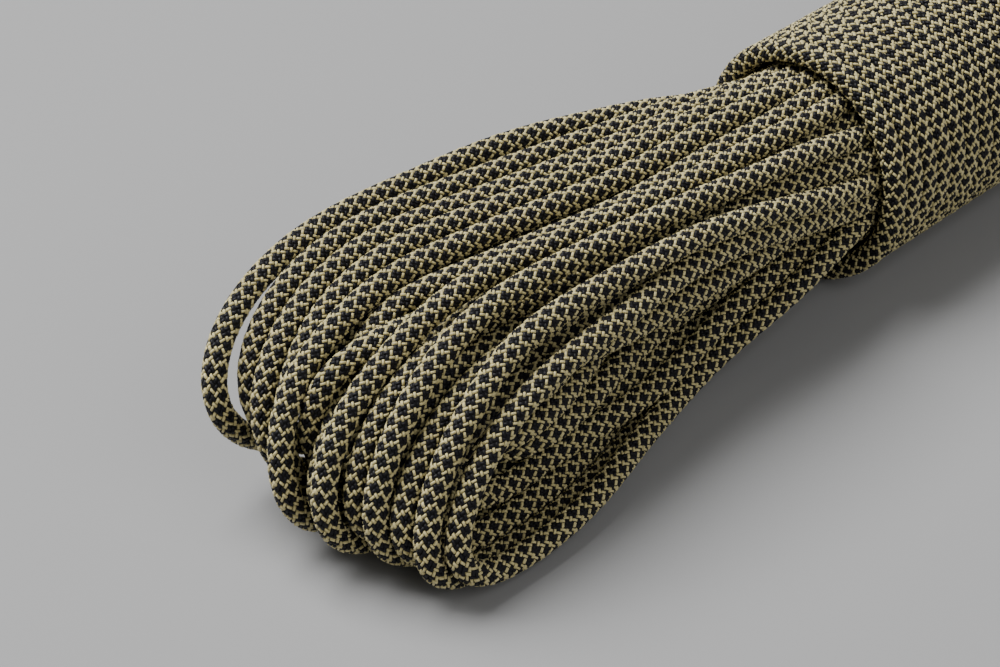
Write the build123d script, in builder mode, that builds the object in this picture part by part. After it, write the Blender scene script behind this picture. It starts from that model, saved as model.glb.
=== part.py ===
"""A hank of 4 mm kernmantle cord: one long cord wound in long oval turns, bound round its middle.

The hank lies along X on the plane z = 0, with the flat underside of its band at the origin.
The near loops point to -X and the far loops to +X. Both ends of the cord leave the band at its
far face. Each end stretch is shown as the cord is made: a braided sheath round seven core
strands, closed by a melted tip.
"""
from build123d import *
from math import cos, radians, sin, tan
import os

# ---- cord ----
CORD_DIAMETER = 4.0
SHEATH_BORE = 3.0
CORE_STRAND_DIAMETER = 0.88
CORE_RING_RADIUS = 0.98
OUTER_CORE_STRANDS = 6

# ---- band of wraps round the middle ----
WRAP_TURNS = 16
WRAP_THICKNESS = 3.4
WRAP_CROWN = 0.35
WAIST_RADIUS = 17.0
WAIST_CLEARANCE = 0.1
AXIS_HEIGHT = 20.0
BAND_LENGTH = WRAP_TURNS * CORD_DIAMETER
BAND_HALF = BAND_LENGTH / 2
BAND_RADIUS = WAIST_RADIUS + WRAP_THICKNESS

# ---- outer shape of the looped ends, as ellipses across the hank, each:
# distance from the middle, half width, half height, tilt in degrees, sideways place, height of centre ----
NEAR_SECTIONS = (
    (58.0, 22.0, 16.0, 10.0, 1.6, 18.6),
    (82.0, 29.0, 15.0, 18.0, 2.6, 17.6),
    (106.0, 34.0, 13.5, 22.0, 2.4, 16.8),
    (126.0, 32.5, 12.5, 20.0, 2.0, 15.6),
    (140.0, 25.0, 9.5, 12.0, 1.5, 14.6),
    (149.0, 15.0, 5.5, 6.0, 1.0, 14.0),
)
FAR_SECTIONS = (
    (58.0, 18.8, 16.6, 0.0, 0.0, 18.4),
    (88.0, 21.8, 16.4, 0.0, 0.0, 16.6),
    (116.0, 24.4, 16.4, 0.0, 0.0, 15.9),
    (133.0, 22.8, 14.8, 0.0, 0.0, 14.8),
    (142.0, 19.0, 11.2, 0.0, 0.0, 14.2),
    (147.0, 14.0, 6.5, 0.0, 0.0, 14.0),
)

# ---- melted tips ----
TIP_DIAMETER = 4.3
TIP_LENGTH = 1.8
TIP_EDGE = 0.7

# ---- routes of the two ends, from the band's far face to the tip ----
EXIT_RADIUS = WAIST_RADIUS + CORD_DIAMETER / 2
WORKING_EXIT_ANGLE = 50.0
STANDING_EXIT_ANGLE = 215.0
FIRST_RUN = 7.0
FLOOR_LINE = TIP_DIAMETER / 2
WORKING_END_POINTS = (
    (48.0, 12.7, 34.9),
    (58.0, 13.8, 34.5),
    (68.0, 15.4, 33.4),
    (77.5, 17.9, 31.8),
    (86.0, 21.2, 29.6),
)
STANDING_END_POINTS = (
    (48.0, -17.4, 7.3),
    (58.0, -20.6, 4.4),
    (69.0, -24.0, FLOOR_LINE + 0.4),
    (81.0, -26.6, FLOOR_LINE),
    (93.0, -28.0, FLOOR_LINE + 0.05),
    (105.0, -27.7, FLOOR_LINE),
)
BEND_SHARE = 0.45


def exit_point(angle):
    """Centre of the cord where it leaves the band's far face, at an angle round the hank's axis."""
    turn = radians(angle)
    return Vector(BAND_HALF, EXIT_RADIUS * cos(turn), AXIS_HEIGHT + EXIT_RADIUS * sin(turn))


def bend_radii(points):
    """Largest arc that fits each corner of a route, as a share of the shorter run beside it."""
    radii = []
    for before, corner, after in zip(points, points[1:], points[2:]):
        run_in = corner - before
        run_out = after - corner
        half_turn = radians(run_in.get_angle(run_out)) / 2
        radii.append(BEND_SHARE * min(run_in.length, run_out.length) / tan(half_turn))
    return radii


def section_plane(side, distance):
    """Plane across the hank at a distance from its middle, on the near (-1) or far (+1) side."""
    return Plane.YZ.offset(side * distance)


def fan_section(side, section):
    """Sketch of the looped end's outline across the hank at one distance from its middle."""
    distance, half_width, half_height, tilt, sideways, height = section
    with BuildSketch(section_plane(side, distance)) as outline:
        with Locations(Location((sideways, height, 0), (0, 0, tilt))):
            Ellipse(half_width, half_height)
    return outline.sketch


def end_route(angle, points):
    """Path of one free end: straight out of the band, then runs joined by large tangent arcs."""
    start = exit_point(angle)
    corners = [start, start + Vector(FIRST_RUN, 0, 0)] + [Vector(*point) for point in points]
    radii = bend_radii(corners)
    print("bend radii, mm:", [round(radius, 1) for radius in radii])
    with BuildLine() as route:
        FilletPolyline(*corners, radius=radii)
    return route.wires()[0]


os.makedirs("parts", exist_ok=True)

# ---- the wound turns: waist inside the band, and the two looped ends ----
with BuildPart() as hank_bundle:
    with BuildSketch(section_plane(-1, BAND_HALF)):
        with Locations((0, AXIS_HEIGHT)):
            Circle(WAIST_RADIUS - WAIST_CLEARANCE)
    extrude(amount=BAND_LENGTH)
    for side, sections in ((-1, NEAR_SECTIONS), (1, FAR_SECTIONS)):
        with BuildSketch(section_plane(side, BAND_HALF)) as waist_face:
            with Locations((0, AXIS_HEIGHT)):
                Circle(WAIST_RADIUS - WAIST_CLEARANCE)
        loft(sections=[waist_face.sketch] + [fan_section(side, section) for section in sections])
    split(bisect_by=Plane.XY, keep=Keep.TOP)
hank_bundle.part.label = "hank_bundle"
export_step(hank_bundle.part, "parts/hank_bundle.step")

# ---- the band: the same cord wound tightly round the waist, its turns pressed side by side ----
with BuildPart() as middle_wrap:
    with BuildSketch(Plane.XZ):
        with BuildLine():
            inner = AXIS_HEIGHT + WAIST_RADIUS
            crest = AXIS_HEIGHT + BAND_RADIUS
            groove = crest - WRAP_CROWN
            for turn in range(WRAP_TURNS):
                start = -BAND_HALF + turn * CORD_DIAMETER
                ThreePointArc((start, groove), (start + CORD_DIAMETER / 2, crest), (start + CORD_DIAMETER, groove))
            Polyline((BAND_HALF, groove), (BAND_HALF, inner), (-BAND_HALF, inner), (-BAND_HALF, groove))
        make_face()
    revolve(axis=Axis((0, 0, AXIS_HEIGHT), (1, 0, 0)))
    split(bisect_by=Plane.XY, keep=Keep.TOP)
middle_wrap.part.label = "middle_wrap"
export_step(middle_wrap.part, "parts/middle_wrap.step")

# ---- the two free ends, each a sheath round seven core strands with a melted tip ----
FREE_ENDS = (
    ("working_end", WORKING_EXIT_ANGLE, WORKING_END_POINTS),
    ("standing_end", STANDING_EXIT_ANGLE, STANDING_END_POINTS),
)
for end_name, exit_angle, end_points in FREE_ENDS:
    path = end_route(exit_angle, end_points)
    start_plane = Plane(origin=path @ 0, z_dir=path % 0)
    tip_plane = Plane(origin=path @ 1, z_dir=path % 1)

    with BuildPart() as sheath:
        with BuildSketch(start_plane):
            Circle(CORD_DIAMETER / 2)
            Circle(SHEATH_BORE / 2, mode=Mode.SUBTRACT)
        sweep(path=path)
    sheath.part.label = end_name + "_sheath"
    export_step(sheath.part, "parts/" + end_name + "_sheath.step")
    print(end_name, "length, mm:", round(path.length, 1))

    strand_places = [(0.0, 0.0)]
    for number in range(OUTER_CORE_STRANDS):
        turn = radians(number * 360.0 / OUTER_CORE_STRANDS)
        strand_places.append((CORE_RING_RADIUS * cos(turn), CORE_RING_RADIUS * sin(turn)))
    for number, place in enumerate(strand_places, start=1):
        with BuildPart() as core_strand:
            with BuildSketch(start_plane):
                with Locations(place):
                    Circle(CORE_STRAND_DIAMETER / 2)
            sweep(path=path)
        core_strand.part.label = end_name + "_core_strand_" + str(number)
        export_step(core_strand.part, "parts/" + core_strand.part.label + ".step")

    with BuildPart() as melted_tip:
        with BuildSketch(tip_plane):
            Circle(TIP_DIAMETER / 2)
        extrude(amount=TIP_LENGTH)
        outer_rim = melted_tip.faces().sort_by(lambda face: (face.center() - path @ 1).length)[-1].edges()
        fillet(outer_rim, radius=TIP_EDGE)
    melted_tip.part.label = end_name + "_melted_tip"
    export_step(melted_tip.part, "parts/" + melted_tip.part.label + ".step")
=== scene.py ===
"""A hank of 4 mm braided cord: one cord wound in 27 long turns, bound round its middle by its own wraps.

The cord is one NURBS line, from the standing end's tip, through the turns and the wraps, to the
working end's tip. The braid is built on that line, stitch by stitch, in tan and in black yarn.
Places are in millimetres until the line is made, and in metres after that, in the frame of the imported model.
"""
from collections import namedtuple
from math import cos, pi, radians, sin

import bpy
import numpy as np
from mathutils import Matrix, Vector
from mathutils.bvhtree import BVHTree
from mathutils.kdtree import KDTree


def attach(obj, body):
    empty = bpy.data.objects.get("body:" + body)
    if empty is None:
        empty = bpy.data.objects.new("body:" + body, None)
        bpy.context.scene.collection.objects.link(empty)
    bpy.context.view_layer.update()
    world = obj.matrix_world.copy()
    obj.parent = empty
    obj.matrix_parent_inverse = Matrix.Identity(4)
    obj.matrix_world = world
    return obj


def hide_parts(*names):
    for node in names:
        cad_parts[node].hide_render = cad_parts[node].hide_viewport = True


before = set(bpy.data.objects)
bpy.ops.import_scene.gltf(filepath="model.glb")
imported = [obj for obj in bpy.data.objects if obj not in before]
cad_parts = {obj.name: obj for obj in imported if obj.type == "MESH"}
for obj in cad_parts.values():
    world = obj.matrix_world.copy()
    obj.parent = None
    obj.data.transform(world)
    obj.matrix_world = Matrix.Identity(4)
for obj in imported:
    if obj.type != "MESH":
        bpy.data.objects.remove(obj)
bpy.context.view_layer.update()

MM = 0.001
SEED = 7

# ---- cord, in mm ----
CORD_DIAMETER = 4.0
BRAID_DIAMETER = 3.86
SHEATH_RADIUS = 1.74
SHEATH_SIDES = 12
SHEATH_STEP = 3.0
TIP_DIAMETER = 4.3
CORE_STRAND_DIAMETER = 0.88
CORE_STRAND_SIDES = 10
CORE_STRAND_STEP = 1.5
CORE_RING_RADIUS = 0.98
OUTER_CORE_STRANDS = 6

# ---- band of wraps, in mm and degrees ----
AXIS_HEIGHT = 20.3
BAND_HALF = 32.0
WAIST_HALF = 30.0
WRAP_TURNS = 15.62
WRAP_PITCH = 2 * WAIST_HALF / WRAP_TURNS
WRAP_LINE_RADIUS = 19.0
WRAP_THICKNESS = 3.4
WRAP_SQUARENESS = 3.2
WRAP_CORNER_MOST = 1.3
PRESSED_FROM = 17.8
PRESSED_FADE = 0.8
ROUND_EDGE = 3.0
ROUND_EDGE_FADE = 2.0
LEANING_MOST = 0.8
LEANING_FADE = 0.5
BAND_MARGIN = 1.0
WRAP_START_ANGLE = -60.0
POINTS_PER_WRAP = 36
LAST_LEG_ENDS = 8.0
# the bends into the first wrap and out of the last one: distance from the middle, radius past the waist
# or past the wraps, and angle past the first wrap's start or round the band; the way in takes the place
# of the wraps' first points
WAY_IN = ((-24.5, 1.4, 0.0), (-27.8, 2.4, -3.0), (-29.6, 3.7, -10.0))
WAY_OUT = ((31.4, 0.1, 65.0), (33.8, 0.2, 56.5), (36.2, 0.25, 51.5))
WAY_IN_REPLACES = 2

# ---- routes of the two free ends, as in the CAD ----
FLOOR_LINE = TIP_DIAMETER / 2
WORKING_END_POINTS = (
    (39.0, 12.21, 34.55),
    (48.0, 12.7, 34.9),
    (58.0, 13.8, 34.5),
    (68.0, 15.4, 33.4),
    (77.5, 17.9, 31.8),
    (86.0, 21.2, 29.6),
)
STANDING_END_POINTS = (
    (37.0, -13.6, 10.2),
    (48.0, -17.4, 7.3),
    (58.0, -20.6, 4.4),
    (69.0, -24.0, FLOOR_LINE + 0.4),
    (81.0, -26.6, FLOOR_LINE),
    (93.0, -28.0, FLOOR_LINE + 0.05),
    (105.0, -27.7, FLOOR_LINE),
)

# ---- the turns lie in four nested layers, from the innermost to the shell, in mm and degrees ----
LAYER_TURNS = (3, 3, 9, 12)
WAIST_RADII = (3.0, 6.85, 10.7, 14.4)
WAIST_LIMIT = 14.5
WAIST_TWIST = 38.0
UPPER_ARC = 142.0
LEG_MIDDLE = 75.0
LOOP_START = 105.0
LEG_STEP = 4.0
LOOP_POINTS = 24
# each looped end's layers: places (sideways, height) of the first and the last upper leg, places of
# the first and the last lower leg, and distance of the tips
NEAR_INNER = (
    ((10.0, 20.0), (10.0, 11.5), (-9.5, 20.0), (-9.5, 11.5), 121.0),
    ((14.2, 20.0), (14.2, 11.5), (-13.7, 20.0), (-13.7, 11.5), 125.2),
    ((14.0, 28.4), (-11.5, 24.0), (10.0, 5.6), (-11.0, 5.6), 133.0),
)
FAR_LAYERS = (
    ((10.0, 19.2), (10.0, 11.2), (-9.5, 19.2), (-9.5, 11.2), 125.0),
    ((14.2, 19.2), (14.2, 11.2), (-13.7, 19.2), (-13.7, 11.2), 129.2),
    ((17.0, 25.4), (-17.0, 24.6), (15.0, 5.2), (-15.0, 5.2), 137.5),
    ((21.5, 28.6), (-21.5, 26.6), (19.0, 2.0), (-19.0, 2.0), 142.0),
)
# the near end's shell, turn by turn: sideways place of the upper leg half way and at the widest place,
# its height there, sideways place of the lower leg, distance of the tip, and how soon the loop droops
NEAR_SHELL = (
    (23.6, 27.4, 33.0, 19.0, 139.9, 0.85),
    (17.4, 24.2, 32.6, 14.6, 136.5, 1.0),
    (12.0, 19.6, 32.6, 10.6, 136.5, 1.2),
    (8.4, 15.0, 33.0, 6.2, 138.4, 1.7),
    (4.6, 10.4, 32.4, 2.5, 140.2, 1.7),
    (0.0, 5.6, 30.2, 0.0, 139.3, 1.8),
    (-3.4, 1.4, 32.4, -4.5, 140.5, 1.8),
    (-6.8, -3.8, 28.8, -7.5, 137.0, 1.8),
    (-9.2, -6.0, 34.0, -11.5, 137.5, 2.0),
    (-11.2, -10.8, 28.8, -14.0, 136.2, 2.2),
    (-13.6, -12.2, 31.2, -19.0, 135.6, 2.4),
    (-14.8, -17.6, 27.4, -22.5, 133.8, 2.8),
)
LEG_RISE = 1.0
SHELL_LEAN = 2.0
LOWER_STAGGER = 1.6
UPPER_SPREAD = 0.66
LOWER_SPREAD = 0.18
SHELL_LOWER_NARROWS = 0.66
SHELL_LOWER_SHIFT = 2.9
INNER_CORNER = 7.0
TIP_VARIES = 1.2

# ---- core and melted tips: (distance past the cord's end, radius) of each ring of a tip ----
CORE_SEEN = 50.0
TIP_SIDES = 32
TIP_LUMP = 0.02
TIP_WAVES = 3
TIP_LUMPS_FROM = 0.6
TIP_PROFILE = (
    (-1.1, 1.9),
    (-0.7, 2.06),
    (-0.2, 2.12),
    (0.4, 2.14),
    (0.9, 2.1),
    (1.3, 1.94),
    (1.6, 1.62),
    (1.74, 1.2),
    (1.78, 0.7),
    (1.74, 0.3),
    (1.72, 0.001),
)

# ---- settling of the turns: distances in mm, and shares of a move made in each round ----
POINT_SPACING = 3.0
SETTLE_ROUNDS = 90
PAIR_REFRESH = 6
PAIR_REACH = 6.0
CLOSE_ALONG = 6
JOINED_POINTS = 4
BESIDE = 0.6 * POINT_SPACING
PUSH_SHARE = 0.5
CROWD_SHARE = 0.5
SPREAD_STEPS = 2
SPREAD_SHARE = 0.25
MOVE_SHARE = 0.9
RETURN_SHARE = 0.01
STIFFENING_STEPS = 4
STIFFNESS = 0.06

# ---- braid: 20 yarns each way, two over and two under, in mm and degrees ----
YARN_COLUMNS = 10
COLUMN_CELLS = 4
COLUMN_MIDDLE = 2.5
RIGHT_SHIFT = 1.5
LEFT_SHIFT = -3.5
CELL_ANGLE = 9.0
CELL_LENGTH = 0.45
BARE_ENDS = 0.4
STITCH_VARIES = 0.035
STITCH_LEAN = 45.0
STITCH_HALF_SIZES = {"tan": (0.47, 0.215), "black": (0.5, 0.27)}
STITCH_CRESTS = {"tan": 1.94, "black": 1.9}
STITCH_PROFILE = ((-1.0, 0.3), (-0.68, 0.0), (0.68, 0.0), (1.0, 0.3))

# ---- which stitches can be seen: step along the cord and height above it in mm, free sight in metres ----
SEEN_STEP = 4.0
SEEN_HEIGHT = 0.1
SEEN_DISTANCE = 0.08
LOW_RAY = 0.3

# ---- yarn: blotches of shade against filaments, and depth of the filaments in metres ----
BLOTCH_SCALE = 260
BLOTCH_SHARE = 0.4
FIBRE_SCALE = 3.2
FIBRE_PLACES = 1000
FIBRE_DEPTH = 0.00005

# ---- camera, a long lens from above the near loops, and lights: place, size in metres, power in watts ----
CAMERA_PLACE = (-0.341, -0.2328, 0.2563)
CAMERA_RIGHT = (0.695, -0.719, 0.0)
CAMERA_UP = (0.412, 0.399, 0.819)
CAMERA_VIEW = (0.589, 0.569, -0.574)
CAMERA_LENS = 99
CAMERA_SENSOR = 36
LIGHTS_AIM = (-0.07, 0.0, 0.0)
LIGHTS = {
    "key": ((-0.35, 0.85, 1.5), 1.3, 60),
    "fill": ((-0.2, -1.3, 1.1), 1.4, 11),
}
WORLD_STRENGTH = 0.13
FLOOR_COLOUR = (0.31, 0.31, 0.312, 1)
FLOOR_SIZE = 6


def smooth(value):
    """0 below 0, 1 above 1, and an even rise between."""
    value = min(1.0, max(0.0, value))
    return value * value * (3 - 2 * value)


def mix(first, second, share):
    """The value that lies a share of the way from first to second."""
    return first + (second - first) * share


# ---------------------------------------------------------------- places of the turns


def waist_slot(layer, number, upper):
    """Place (y, z) of one leg in the waist: each layer is a ring, with the upper legs closer together."""
    share = (number + 0.5) / LAYER_TURNS[layer]
    angle = radians(WAIST_TWIST + share * (UPPER_ARC if upper else UPPER_ARC - 360))
    return WAIST_RADII[layer] * cos(angle), AXIS_HEIGHT + WAIST_RADII[layer] * sin(angle)


def leg(side, places, start, stop):
    """Points of a leg between two distances from the middle, through its three places (y, z)."""
    stops = (WAIST_HALF, LEG_MIDDLE, LOOP_START)
    points = []
    count = int(abs(stop - start) / LEG_STEP)
    for number in range(count):
        distance = mix(start, stop, number / count)
        sideways = np.interp(distance, stops, [place[0] for place in places])
        height = np.interp(distance, stops, [place[1] for place in places])
        points.append((side * distance, sideways, height))
    return points


# places of the upper and the lower leg, distances where the loop starts and of its tip, how soon it
# droops, and how soon it moves over to the lower leg's side
Turn = namedtuple("Turn", "upper lower start tip droop lean")


def loop(side, turn):
    """Points of a looped end from its upper leg, round its tip, to its lower leg."""
    upper, lower = turn.upper[-1], turn.lower[-1]
    points = []
    for number in range(LOOP_POINTS):
        angle = pi / 2 - pi * number / LOOP_POINTS
        distance = mix(turn.start, turn.tip, cos(angle))
        sideways = mix(upper[0], lower[0], min(1.0, turn.lean * (1 - sin(angle)) / 2))
        height = mix(lower[1], upper[1], ((1 + sin(angle)) / 2) ** turn.droop)
        points.append((side * distance, sideways, height))
    return points


def shell_turn(number):
    """One turn of the near end's shell: where its legs lie and how its loop falls."""
    half_way, sideways, height, lower, tip, droop = NEAR_SHELL[number]
    shell = len(LAYER_TURNS) - 1
    upper_waist = waist_slot(shell, number, True)
    upper_places = (upper_waist, (half_way, height + LEG_RISE), (sideways, height))
    floor_height = CORD_DIAMETER / 2 + LOWER_STAGGER * (number % 2)
    lower_waist = waist_slot(shell, number, False)
    lower_half_way = (SHELL_LOWER_NARROWS * lower + SHELL_LOWER_SHIFT, floor_height + LEG_RISE)
    shell_lower_places = (lower_waist, lower_half_way, (lower, floor_height))
    return Turn(upper_places, shell_lower_places, LOOP_START, tip, droop, SHELL_LEAN)


def layer_turn(layers, layer, number):
    """One turn of an even layer, between the layer's first and last turn."""
    first_upper, last_upper, first_lower, last_lower, tip = layers[layer]
    share = number / (LAYER_TURNS[layer] - 1)
    upper_waist = waist_slot(layer, number, True)
    upper_place = tuple(mix(first, last, share) for first, last in zip(first_upper, last_upper))
    lower_place = tuple(mix(first, last, share) for first, last in zip(first_lower, last_lower))
    half_way = tuple(mix(near, far, UPPER_SPREAD) for near, far in zip(upper_waist, upper_place))
    tip -= INNER_CORNER * (2 * share - 1) ** 2
    reach = max(abs(first - last) for first, last in zip(upper_place, lower_place)) / 2
    lower = lower_places(layer, number, lower_place)
    return Turn((upper_waist, half_way, upper_place), lower, tip - reach, tip, 1.0, 1.0)


def lower_places(layer, number, lower_place):
    """A lower leg's three places: it drops to its height at once and moves sideways late."""
    lower_waist = waist_slot(layer, number, False)
    half_way = mix(lower_waist[0], lower_place[0], LOWER_SPREAD)
    return (lower_waist, (half_way, lower_place[1] + LEG_RISE), lower_place)


def turn_order():
    """(layer, number) of each turn: the layers from the inside out, wound to and fro."""
    order = []
    for layer, count in enumerate(LAYER_TURNS):
        numbers = range(count) if layer % 2 else reversed(range(count))
        order += [(layer, number) for number in numbers]
    return order


def across_waist(side, came_in, goes_out):
    """Points of a leg through the waist, from one side to the other."""
    count = int(2 * WAIST_HALF / LEG_STEP)
    points = []
    for number in range(count):
        share = smooth(number / count)
        place = (mix(came_in[0], goes_out[0], share), mix(came_in[1], goes_out[1], share))
        points.append((side * mix(WAIST_HALF, -WAIST_HALF, number / count), *place))
    return points


def wound_turns():
    """Points of all the turns, from the standing end's way in to the first wrap's way out."""
    vary = np.random.default_rng(SEED)
    order = turn_order()
    lower_place = STANDING_END_POINTS[0][1:]
    way_out = round_axis(0, WAIST_RADII[-1], WRAP_START_ANGLE)[1:]
    points = []
    for place, (layer, number) in enumerate(order):
        near = shell_turn(number) if layer == len(NEAR_INNER) else layer_turn(NEAR_INNER, layer, number)
        far = layer_turn(FAR_LAYERS, layer, number)
        if place + 1 < len(order):
            next_lower = layer_turn(FAR_LAYERS, *order[place + 1]).lower
        else:
            next_lower = (way_out, (way_out[0], CORD_DIAMETER), (way_out[0], CORD_DIAMETER / 2))
        near = near._replace(tip=near.tip + vary.uniform(-TIP_VARIES, TIP_VARIES))
        far = far._replace(tip=far.tip + vary.uniform(-TIP_VARIES, TIP_VARIES), lower=next_lower)
        points += across_waist(1, lower_place, near.lower[0])
        points += leg(-1, near.lower, WAIST_HALF, near.start)
        points += reversed(loop(-1, near))
        points += leg(-1, near.upper, near.start, WAIST_HALF)
        points += across_waist(-1, near.upper[0], far.upper[0])
        points += leg(1, far.upper, WAIST_HALF, far.start)
        points += loop(1, far)
        points += leg(1, far.lower, far.start, WAIST_HALF)
        lower_place = far.lower[0]
    points += across_waist(1, way_out, way_out)[: -int(LAST_LEG_ENDS / LEG_STEP)]
    return np.array(points)


def round_axis(distance, radius, angle):
    """Point at a radius and an angle, in degrees, round the band's axis."""
    turn = radians(angle)
    return distance, radius * cos(turn), AXIS_HEIGHT + radius * sin(turn)


def wraps():
    """Points of the wraps, with the short bends into the first one and out of the last one."""
    points = []
    for distance, past_waist, past_start in WAY_IN:
        points.append(round_axis(distance, WAIST_RADII[-1] + past_waist, WRAP_START_ANGLE + past_start))
    count = int(WRAP_TURNS * POINTS_PER_WRAP)
    for number in range(WAY_IN_REPLACES, count + 1):
        angle = WRAP_START_ANGLE - 360 * WRAP_TURNS * number / count
        distance = mix(-WAIST_HALF, WAIST_HALF, number / count)
        points.append(round_axis(distance, WRAP_LINE_RADIUS, angle))
    for distance, past_wraps, angle in WAY_OUT:
        points.append(round_axis(distance, WRAP_LINE_RADIUS + past_wraps, angle))
    return np.array(points)


# ---------------------------------------------------------------- settling of the turns


def even_points(points, spacing):
    """The same line with its points an even distance apart."""
    gaps = np.linalg.norm(np.diff(points, axis=0), axis=1)
    places = np.concatenate([[0], np.cumsum(gaps)])
    wanted = np.linspace(0, places[-1], int(places[-1] / spacing) + 1)
    return np.stack([np.interp(wanted, places, points[:, axis]) for axis in range(3)], axis=1)


def near_pairs(points):
    """Numbers of the points that lie close to each other on different stretches of the cord."""
    tree = KDTree(len(points))
    for number, point in enumerate(points):
        tree.insert(point, number)
    tree.balance()
    first, second = [], []
    for number, point in enumerate(points):
        for _, other, _ in tree.find_range(point, PAIR_REACH):
            if abs(other - number) > CLOSE_ALONG:
                first.append(number)
                second.append(other)
    return np.array(first), np.array(second)


def second_difference(values):
    """How far each point is from the middle of its neighbours, doubled, with the ends left at 0."""
    change = np.zeros_like(values)
    change[1:-1] = values[:-2] - 2 * values[1:-1] + values[2:]
    return change


def hold_in_band(points):
    """Move the points under the band back to the room that the wraps leave."""
    waist_middle = np.array((0.0, AXIS_HEIGHT))
    from_middle = points[:, 1:] - waist_middle
    reach = np.maximum(np.linalg.norm(from_middle, axis=1), 1)
    kept_in = np.minimum(1, WAIST_LIMIT / reach)
    kept_in[np.abs(points[:, 0]) >= BAND_HALF] = 1
    points[:, 1:] = waist_middle + from_middle * kept_in[:, None]


def push_apart(points, first, second):
    """How far each point moves away from the stretches that it cuts."""
    along = np.gradient(points, axis=0)
    along /= np.linalg.norm(along, axis=1)[:, None]
    gap = points[first] - points[second]
    ahead = np.sum(gap * along[second], axis=1)
    across = gap - ahead[:, None] * along[second]
    apart = np.linalg.norm(across, axis=1) + 1e-6
    touching = (np.abs(ahead) < BESIDE) & (apart < CORD_DIAMETER)
    overlap = (CORD_DIAMETER - apart[touching]) / apart[touching]
    push = across[touching] * overlap[:, None] * PUSH_SHARE
    move = np.zeros_like(points)
    count = np.zeros(len(points))
    np.add.at(move, first[touching], push)
    np.add.at(move, second[touching], -push)
    np.add.at(count, first[touching], 1)
    np.add.at(count, second[touching], 1)
    return move / np.maximum(1, CROWD_SHARE * count)[:, None]


def settled(start):
    """The turns moved apart until most neighbouring stretches touch and don't cut, above the floor."""
    points = start.copy()
    free = np.ones((len(points), 1))
    free[:JOINED_POINTS] = 0
    free[-JOINED_POINTS:] = 0
    for round_number in range(SETTLE_ROUNDS):
        if round_number % PAIR_REFRESH == 0:
            pairs = near_pairs(points)
        move = push_apart(points, *pairs)
        for _ in range(SPREAD_STEPS):
            move += SPREAD_SHARE * second_difference(move)
        points += free * move * MOVE_SHARE
        points += free * RETURN_SHARE * (start - points)
        for _ in range(STIFFENING_STEPS):
            points -= free * STIFFNESS * second_difference(second_difference(points))
        points[:, 2] = np.maximum(points[:, 2], CORD_DIAMETER / 2)
        hold_in_band(points)
    return points


# ---------------------------------------------------------------- the cord's own line


def spline_points(name, controls):
    """Points of a NURBS line with these control points, in metres."""
    curve = bpy.data.curves.new(name, "CURVE")
    curve.dimensions = "3D"
    curve.resolution_u = 3
    spline = curve.splines.new("NURBS")
    spline.points.add(len(controls) - 1)
    for point, place in zip(spline.points, controls):
        point.co = (place[0] * MM, place[1] * MM, place[2] * MM, 1.0)
    spline.order_u = 3
    spline.use_endpoint_u = True
    line = bpy.data.objects.new(name, curve)
    bpy.context.scene.collection.objects.link(line)
    mesh = bpy.data.meshes.new_from_object(line.evaluated_get(bpy.context.evaluated_depsgraph_get()))
    places = np.empty(3 * len(mesh.vertices))
    mesh.vertices.foreach_get("co", places)
    bpy.data.objects.remove(line)
    bpy.data.curves.remove(curve)
    bpy.data.meshes.remove(mesh)
    return places.reshape(-1, 3)


class Line:
    """The cord's centre line with a frame along it, looked up by the length from its start."""

    def __init__(self, points):
        gaps = np.linalg.norm(np.diff(points, axis=0), axis=1)
        points = points[np.concatenate([[True], gaps > 1e-6])]
        gaps = np.linalg.norm(np.diff(points, axis=0), axis=1)
        self.places = np.concatenate([[0], np.cumsum(gaps)])
        self.length = self.places[-1]
        self.points = points
        along = np.gradient(points, self.places, axis=0)
        self.along = along / np.linalg.norm(along, axis=1)[:, None]
        self.normal = self.carried_normal()

    def carried_normal(self):
        """A direction across the line, carried along it without twist."""
        normals = np.empty_like(self.points)
        normal = np.array((0.0, 0.0, 1.0))
        for number, along in enumerate(self.along):
            normal = normal - along * np.dot(normal, along)
            normal = normal / np.sqrt(np.dot(normal, normal))
            normals[number] = normal
        return normals

    def look_up(self, places):
        """Points and their along, normal and across directions at these lengths."""
        point, along, normal = (
            np.stack([np.interp(places, self.places, values[:, axis]) for axis in range(3)], axis=1)
            for values in (self.points, self.along, self.normal)
        )
        along /= np.linalg.norm(along, axis=1)[:, None]
        normal -= along * np.sum(along * normal, axis=1)[:, None]
        normal /= np.linalg.norm(normal, axis=1)[:, None]
        return point, along, normal, np.cross(along, normal)

    def surface(self, places, angles, radii):
        """Points of the cord's surface, pressed flat where the cord is wound into the band."""
        point, along, normal, across = self.look_up(places)
        outward = np.cos(angles)[:, None] * normal + np.sin(angles)[:, None] * across
        radial = point - np.array((0.0, 0.0, AXIS_HEIGHT * MM))
        radial[:, 0] = 0
        distance = np.linalg.norm(radial, axis=1)
        radial /= np.maximum(distance, 1e-9)[:, None]
        wound = np.clip((distance / MM - PRESSED_FROM) / PRESSED_FADE, 0, 1)
        wound *= np.clip((BAND_HALF - ROUND_EDGE - np.abs(point[:, 0]) / MM) / ROUND_EDGE_FADE, 0, 1)
        wound *= np.clip((LEANING_MOST - np.abs(along[:, 0])) / LEANING_FADE, 0, 1)
        side = np.abs(outward[:, 0]) / (WRAP_PITCH / BRAID_DIAMETER)
        up = np.abs(np.sum(outward * radial, axis=1)) / (WRAP_THICKNESS / BRAID_DIAMETER)
        pressed = (side**WRAP_SQUARENESS + up**WRAP_SQUARENESS + 1e-9) ** (-1 / WRAP_SQUARENESS)
        scale = 1 + wound * (np.minimum(pressed, WRAP_CORNER_MOST) - 1)
        surface = point + outward * (radii * scale)[:, None]
        surface[:, 2] = np.maximum(surface[:, 2], 0)
        return surface


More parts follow.
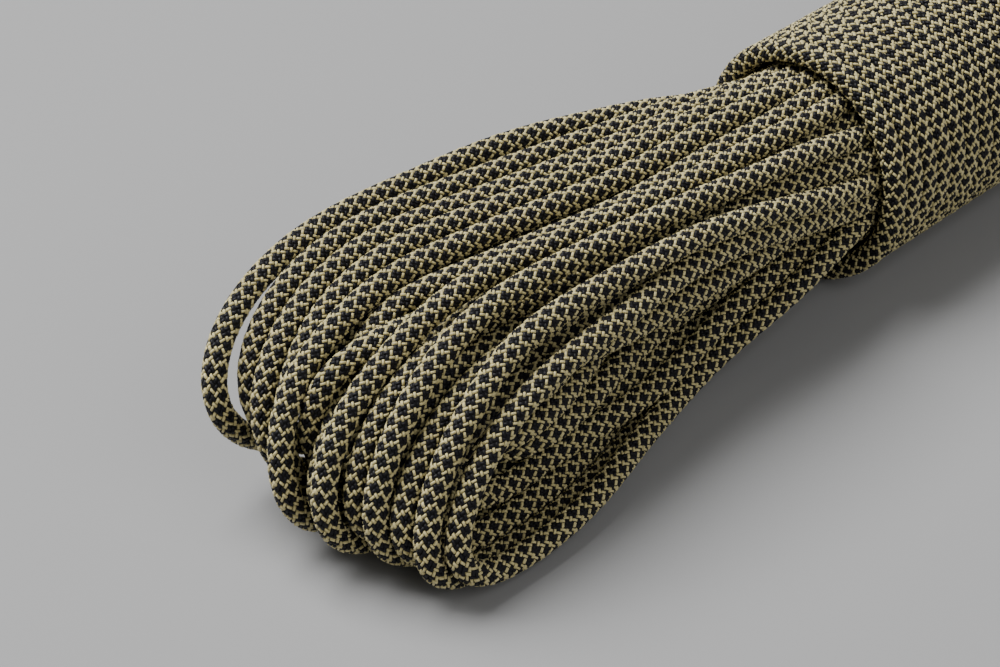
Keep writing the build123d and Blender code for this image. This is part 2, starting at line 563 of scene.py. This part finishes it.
def mesh_object(name, vertices, faces):
    """A smooth mesh object from arrays of vertices and of four-cornered faces."""
    mesh = bpy.data.meshes.new(name)
    mesh.vertices.add(len(vertices))
    mesh.vertices.foreach_set("co", vertices.astype(np.float32).ravel())
    mesh.loops.add(faces.size)
    mesh.loops.foreach_set("vertex_index", faces.astype(np.int32).ravel())
    mesh.polygons.add(len(faces))
    mesh.polygons.foreach_set("loop_start", np.arange(0, faces.size, 4, dtype=np.int32))
    mesh.polygons.foreach_set("use_smooth", np.ones(len(faces), dtype=bool))
    mesh.update(calc_edges=True)
    piece = bpy.data.objects.new(name, mesh)
    bpy.context.scene.collection.objects.link(piece)
    return piece


def ring_places(start, stop, step, sides):
    """Lengths along the cord and angles round it of a tube's vertices, ring by ring."""
    rings = np.linspace(start, stop, int((stop - start) / step) + 2)
    return rings, np.repeat(rings, sides), np.tile(np.arange(sides) * 2 * pi / sides, len(rings))


def ring_faces(count, sides):
    """The four-cornered faces between rings of vertices."""
    ring = np.arange(count - 1)[:, None] * sides
    here = np.arange(sides)[None, :]
    following = (here + 1) % sides
    faces = [ring + here, ring + following, ring + sides + following, ring + sides + here]
    return np.stack(faces, axis=-1).reshape(-1, 4)


def sheath(line):
    """The sheath's inner side, a tube below the stitches coloured near black as painted shade for the gaps
    between them, and its ring centres.
    """
    rings, places, angles = ring_places(0, line.length, SHEATH_STEP * MM, SHEATH_SIDES)
    vertices = line.surface(places, angles, np.full(len(places), SHEATH_RADIUS * MM))
    tube = mesh_object("cord_sheath", vertices, ring_faces(len(rings), SHEATH_SIDES))
    tube.data.materials.append(PAINTED_SHADE_UNDER_STITCHES)
    return tube, line.look_up(rings)[0]


# ---------------------------------------------------------------- braid


def stitch_places(direction, length):
    """Where the braid's stitches are: lengths along the cord in mm, angles, and which are tan.

    The yarns that lean one way run in pairs of tan and pairs of black. Those that lean the other
    way are tan and black by turns. Together they leave black diamonds in a tan lattice.
    """
    places, angles, light = [], [], []
    for column in range(YARN_COLUMNS):
        if direction > 0:
            shift = RIGHT_SHIFT + COLUMN_CELLS * column
            first = -int(shift / 2)
            angle = CELL_ANGLE * shift
        else:
            shift = LEFT_SHIFT - COLUMN_CELLS * column
            first = int(-shift / 2)
            angle = -CELL_ANGLE * shift
        yarns = first + np.arange(int(length / CELL_LENGTH / 2))
        places.append(CELL_LENGTH * (2 * yarns + shift))
        angles.append(np.full(len(yarns), radians(angle)))
        light.append(yarns % 4 < 2 if direction > 0 else yarns % 2 == 0)
    places, angles, light = (np.concatenate(values) for values in (places, angles, light))
    inside = (places > BARE_ENDS) & (places < length - BARE_ENDS)
    return places[inside], angles[inside], light[inside]


def stitch_shape(direction, shade):
    """Corners of one pillow-shaped stitch: along the cord, round the cord and out, all in mm."""
    half_length, half_width = STITCH_HALF_SIZES[shade]
    lean = radians(STITCH_LEAN) * direction
    corners = []
    for along, end_drop in STITCH_PROFILE:
        for across, side_drop in STITCH_PROFILE:
            a = along * half_length
            b = across * half_width
            crest = STITCH_CRESTS[shade] - max(end_drop, side_drop)
            corners.append((a * cos(lean) - b * sin(lean), a * sin(lean) + b * cos(lean), crest))
    return np.array(corners)


def open_cells(line, base):
    """For each short length of cord and each braid column, whether it can be seen from outside."""
    depsgraph = bpy.context.evaluated_depsgraph_get()
    walls = BVHTree.FromObject(base, depsgraph)
    count = int(line.length / MM / SEEN_STEP) + 1
    open_to_air = np.zeros((count, YARN_COLUMNS), dtype=bool)
    for column in range(YARN_COLUMNS):
        places = (np.arange(count) + 0.5) * SEEN_STEP * MM
        angles = np.full(count, radians(CELL_ANGLE * (COLUMN_MIDDLE + COLUMN_CELLS * column)))
        starts = line.surface(places, angles, np.full(count, (STITCH_CRESTS["tan"] + SEEN_HEIGHT) * MM))
        point, along, _, _ = line.look_up(places)
        outward = starts - point
        outward /= np.linalg.norm(outward, axis=1)[:, None]
        sideways = np.cross(along, outward)
        rays = (
            outward,
            outward + sideways,
            outward - sideways,
            outward + along,
            outward - along,
            LOW_RAY * outward + sideways,
            LOW_RAY * outward - sideways,
        )
        for number in range(count):
            start = Vector(starts[number])
            for ray in rays:
                if walls.ray_cast(start, Vector(ray[number]), SEEN_DISTANCE)[0] is None:
                    open_to_air[number, column] = True
                    break
    wide = open_to_air.copy()
    wide[1:] |= open_to_air[:-1]
    wide[:-1] |= open_to_air[1:]
    return wide | np.roll(wide, 1, axis=1) | np.roll(wide, -1, axis=1)


def yarn(name, line, direction, shade, places, angles):
    """All the given stitches of one yarn as one mesh."""
    shape = stitch_shape(direction, shade)
    corners = len(shape)
    vary = np.random.default_rng(SEED + len(places))
    lift = np.repeat(vary.uniform(-STITCH_VARIES, STITCH_VARIES, len(places)), corners)
    along = np.repeat(places, corners) + np.tile(shape[:, 0], len(places))
    turn = np.repeat(angles, corners) + np.tile(shape[:, 1], len(places)) / (CORD_DIAMETER / 2)
    radii = np.tile(shape[:, 2], len(places)) + lift
    vertices = line.surface(along * MM, turn, radii * MM)
    grid = []
    side = len(STITCH_PROFILE)
    for row in range(side - 1):
        for column in range(side - 1):
            corner = side * row + column
            grid.append((corner, corner + side, corner + side + 1, corner + 1))
    faces = (np.array(grid)[None] + corners * np.arange(len(places))[:, None, None]).reshape(-1, 4)
    piece = mesh_object(name, vertices, faces)
    side_places = np.tile([across for _ in STITCH_PROFILE for across, _ in STITCH_PROFILE], len(places))
    fibres = side_places + np.repeat(vary.uniform(0, FIBRE_PLACES, len(places)), corners)
    fibre_place = piece.data.attributes.new("fibre_place", "FLOAT", "POINT")
    fibre_place.data.foreach_set("value", fibres.astype(np.float32))
    return piece


def braid(line, seen):
    """The braid's seen stitches, as one piece for each colour, direction and stretch of the hank."""
    pieces = []
    for direction, way in ((1, "right"), (-1, "left")):
        places, angles, light = stitch_places(direction, line.length / MM)
        cell = np.minimum((places / SEEN_STEP).astype(int), len(seen) - 1)
        column = np.floor((np.degrees(angles) / CELL_ANGLE - 0.5) / COLUMN_CELLS).astype(int) % YARN_COLUMNS
        kept = seen[cell, column]
        at = line.look_up(places * MM)[0]
        wound = np.hypot(at[:, 1], at[:, 2] - AXIS_HEIGHT * MM) > (WRAP_LINE_RADIUS - BAND_MARGIN) * MM
        wound &= np.abs(at[:, 0]) < (BAND_HALF + BAND_MARGIN) * MM
        near = ~wound & (at[:, 0] < 0)
        for stretch, members in (("wraps", wound), ("near_turns", near), ("far_turns", ~wound & ~near)):
            for shade, coloured in (("tan", light), ("black", ~light)):
                chosen = kept & members & coloured
                name = "_".join(("yarn", shade, way, stretch))
                piece = yarn(name, line, direction, shade, places[chosen], angles[chosen])
                piece.data.materials.append(TAN if shade == "tan" else BLACK)
                pieces.append(piece)
    return pieces


# ---------------------------------------------------------------- core and tips


def core_strand(line, number):
    """One core strand in both end stretches, the first in the middle and the others round it."""
    offset = 0 if number == 1 else CORE_RING_RADIUS * MM
    turn = radians(number * 360 / OUTER_CORE_STRANDS)
    vertices, faces, first_vertex = [], [], 0
    for start, stop in ((0, CORE_SEEN * MM), (line.length - CORE_SEEN * MM, line.length)):
        rings, places, angles = ring_places(start, stop, CORE_STRAND_STEP * MM, CORE_STRAND_SIDES)
        point, _, normal, across = line.look_up(places)
        outward = np.cos(angles)[:, None] * normal + np.sin(angles)[:, None] * across
        centre = point + offset * (cos(turn) * normal + sin(turn) * across)
        vertices.append(centre + CORE_STRAND_DIAMETER / 2 * MM * outward)
        faces.append(first_vertex + ring_faces(len(rings), CORE_STRAND_SIDES))
        first_vertex += len(places)
    strand = mesh_object("core_strand_" + str(number), np.concatenate(vertices), np.concatenate(faces))
    strand.data.materials.append(CORE)
    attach(strand, "root")
    return strand


def melted_tip(name, line, place, way):
    """A melted and set end: a lumpy rounded cap a little wider than the cord."""
    point, along, normal, across = (value[0] for value in line.look_up(np.array([place])))
    vary = np.random.default_rng(SEED)
    turns = np.arange(TIP_SIDES) * 2 * pi / TIP_SIDES
    bumps = np.zeros(TIP_SIDES)
    for number, (even, odd) in enumerate(vary.uniform(-1, 1, (TIP_WAVES, 2))):
        bumps += even * np.cos((number + 2) * turns) + odd * np.sin((number + 2) * turns)
    outward = np.cos(turns)[:, None] * normal + np.sin(turns)[:, None] * across
    rings = []
    for distance, radius in TIP_PROFILE:
        lumpiness = TIP_LUMP * min(1.0, max(0.0, distance + TIP_LUMPS_FROM))
        reach = radius * MM * (1 + lumpiness * bumps)
        rings.append(point + way * along * distance * MM + outward * reach[:, None])
    faces = ring_faces(len(TIP_PROFILE), TIP_SIDES)[:, ::way]
    tip = mesh_object(name, np.concatenate(rings), faces)
    tip.data.materials.append(MELTED)
    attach(tip, "root")
    return tip


# ---------------------------------------------------------------- materials


Base = namedtuple("Base", "material shader noise ramp bump")


def procedural(name, roughness, sheen, colours, scale):
    """A material whose colour wanders between two, with the nodes to build on."""
    material = bpy.data.materials.new(name)
    material.use_nodes = True
    nodes, links = material.node_tree.nodes, material.node_tree.links
    shader = nodes["Principled BSDF"]
    shader.inputs["Roughness"].default_value = roughness
    shader.inputs["Sheen Weight"].default_value = sheen
    shader.inputs["Sheen Roughness"].default_value = 0.4
    place = nodes.new("ShaderNodeTexCoord")
    noise = nodes.new("ShaderNodeTexNoise")
    noise.inputs["Scale"].default_value = scale
    noise.inputs["Detail"].default_value = 4
    ramp = nodes.new("ShaderNodeValToRGB")
    ramp.color_ramp.elements[0].position = 0.3
    ramp.color_ramp.elements[0].color = (*colours[0], 1)
    ramp.color_ramp.elements[1].position = 0.7
    ramp.color_ramp.elements[1].color = (*colours[1], 1)
    bump = nodes.new("ShaderNodeBump")
    links.new(place.outputs["Object"], noise.inputs["Vector"])
    links.new(noise.outputs["Fac"], ramp.inputs["Fac"])
    links.new(ramp.outputs["Color"], shader.inputs["Base Color"])
    links.new(noise.outputs["Fac"], bump.inputs["Height"])
    links.new(bump.outputs["Normal"], shader.inputs["Normal"])
    return Base(material, shader, noise, ramp, bump)


def nylon(name, darker, colour, sheen, gloss):
    """Dyed nylon yarn: fine lengthwise filaments, slight changes of shade, a soft sheen."""
    base = procedural(name, 0.5, sheen, (darker, colour), BLOTCH_SCALE)
    base.shader.inputs["Specular IOR Level"].default_value = gloss
    nodes, links = base.material.node_tree.nodes, base.material.node_tree.links
    fibre_place = nodes.new("ShaderNodeAttribute")
    fibre_place.attribute_name = "fibre_place"
    fibres = nodes.new("ShaderNodeTexNoise")
    fibres.noise_dimensions = "1D"
    fibres.inputs["Scale"].default_value = FIBRE_SCALE
    fibres.inputs["Detail"].default_value = 2
    blotches = nodes.new("ShaderNodeMath")
    blotches.operation = "MULTIPLY"
    blotches.inputs[1].default_value = BLOTCH_SHARE
    blend = nodes.new("ShaderNodeMath")
    blend.operation = "MULTIPLY_ADD"
    blend.inputs[1].default_value = 1 - BLOTCH_SHARE
    base.bump.inputs["Strength"].default_value = 0.5
    base.bump.inputs["Distance"].default_value = FIBRE_DEPTH
    links.new(fibre_place.outputs["Fac"], fibres.inputs["W"])
    links.new(fibres.outputs["Fac"], blend.inputs[0])
    links.new(base.noise.outputs["Fac"], blotches.inputs[0])
    links.new(blotches.outputs["Value"], blend.inputs[2])
    links.new(blend.outputs["Value"], base.ramp.inputs["Fac"])
    links.new(blend.outputs["Value"], base.bump.inputs["Height"])
    return base.material


def plain_nylon(name, roughness, darker, colour, scale, depth):
    """Nylon without seen filaments: the sheath's inner side, near black as painted shade between the stitches,
    the core, or a melted and set tip.
    """
    base = procedural(name, roughness, 0.0, (darker, colour), scale)
    base.bump.inputs["Strength"].default_value = 0.6
    base.bump.inputs["Distance"].default_value = depth
    return base.material


TAN = nylon("tan_nylon", (0.39, 0.32, 0.12), (0.76, 0.67, 0.335), 0.2, 0.5)
BLACK = nylon("black_nylon", (0.0022, 0.0020, 0.0030), (0.0070, 0.0064, 0.0092), 0.02, 0.25)
# the sheath's inner side is coloured near black: painted shade, so that the gaps between the stitches look
# dark
PAINTED_SHADE_UNDER_STITCHES = plain_nylon("painted_shade_under_stitches", 0.8, (0.0020, 0.0018, 0.0018), (0.0040, 0.0034, 0.0030), 900, 0.00005)
CORE = plain_nylon("core_nylon", 0.5, (0.66, 0.64, 0.58), (0.84, 0.82, 0.76), 1500, 0.00004)
MELTED = plain_nylon("melted_nylon", 0.34, (0.012, 0.009, 0.006), (0.075, 0.055, 0.028), 700, 0.00012)

# ---------------------------------------------------------------- camera, floor and lights


def camera():
    """The camera at the photograph's angle."""
    data = bpy.data.cameras.new("camera")
    data.lens = CAMERA_LENS
    data.sensor_width = CAMERA_SENSOR
    viewer = bpy.data.objects.new("camera", data)
    matrix = viewer.matrix_world.copy()
    columns = (Vector(CAMERA_RIGHT), Vector(CAMERA_UP), -Vector(CAMERA_VIEW), Vector(CAMERA_PLACE))
    for number, column in enumerate(columns):
        for row in range(3):
            matrix[row][number] = column[row]
    viewer.matrix_world = matrix
    bpy.context.scene.collection.objects.link(viewer)
    bpy.context.scene.camera = viewer


def floor():
    """A plain pale floor."""
    bpy.ops.mesh.primitive_plane_add(size=FLOOR_SIZE)
    ground = bpy.context.object
    ground.name = "floor"
    material = bpy.data.materials.new("floor")
    material.use_nodes = True
    shader = material.node_tree.nodes["Principled BSDF"]
    shader.inputs["Base Color"].default_value = FLOOR_COLOUR
    shader.inputs["Roughness"].default_value = 0.8
    ground.data.materials.append(material)


def light(name, place, size, power):
    """A soft square lamp that faces the middle of the near loops."""
    data = bpy.data.lights.new(name, "AREA")
    data.size = size
    data.energy = power
    lamp = bpy.data.objects.new(name, data)
    lamp.location = place
    aim = Vector(LIGHTS_AIM) - Vector(place)
    lamp.rotation_euler = aim.to_track_quat("-Z", "Y").to_euler()
    bpy.context.scene.collection.objects.link(lamp)


def surroundings():
    """Even white light from all sides."""
    world = bpy.data.worlds.new("world")
    bpy.context.scene.world = world
    world.use_nodes = True
    background = world.node_tree.nodes["Background"]
    background.inputs["Color"].default_value = (1, 1, 1, 1)
    background.inputs["Strength"].default_value = WORLD_STRENGTH


# ---------------------------------------------------------------- build

turns = settled(even_points(wound_turns(), POINT_SPACING))
controls = [*reversed(STANDING_END_POINTS), *turns, *wraps(), *WORKING_END_POINTS]
line = Line(spline_points("cord_line", controls))
print("cord length, m:", round(line.length, 3), "control points:", len(controls))

base, ring_centres = sheath(line)
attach(base, "root")
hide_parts("hank_bundle", "middle_wrap", "working_end_sheath", "standing_end_sheath")
pieces = braid(line, open_cells(line, base))
for piece in pieces:
    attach(piece, "root")
for number in range(1, OUTER_CORE_STRANDS + 2):
    strand = core_strand(line, number)
    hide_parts(*(end + "_core_strand_" + str(number) for end in ("working_end", "standing_end")))
    pieces.append(strand)
for end, place, way in (("standing_end", 0.0, -1), ("working_end", line.length, 1)):
    tip = melted_tip(end + "_melted_tip_set", line, place, way)
    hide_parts(end + "_melted_tip")
    pieces.append(tip)

camera()
floor()
for name, (place, size, power) in LIGHTS.items():
    light(name, place, size, power)
surroundings()
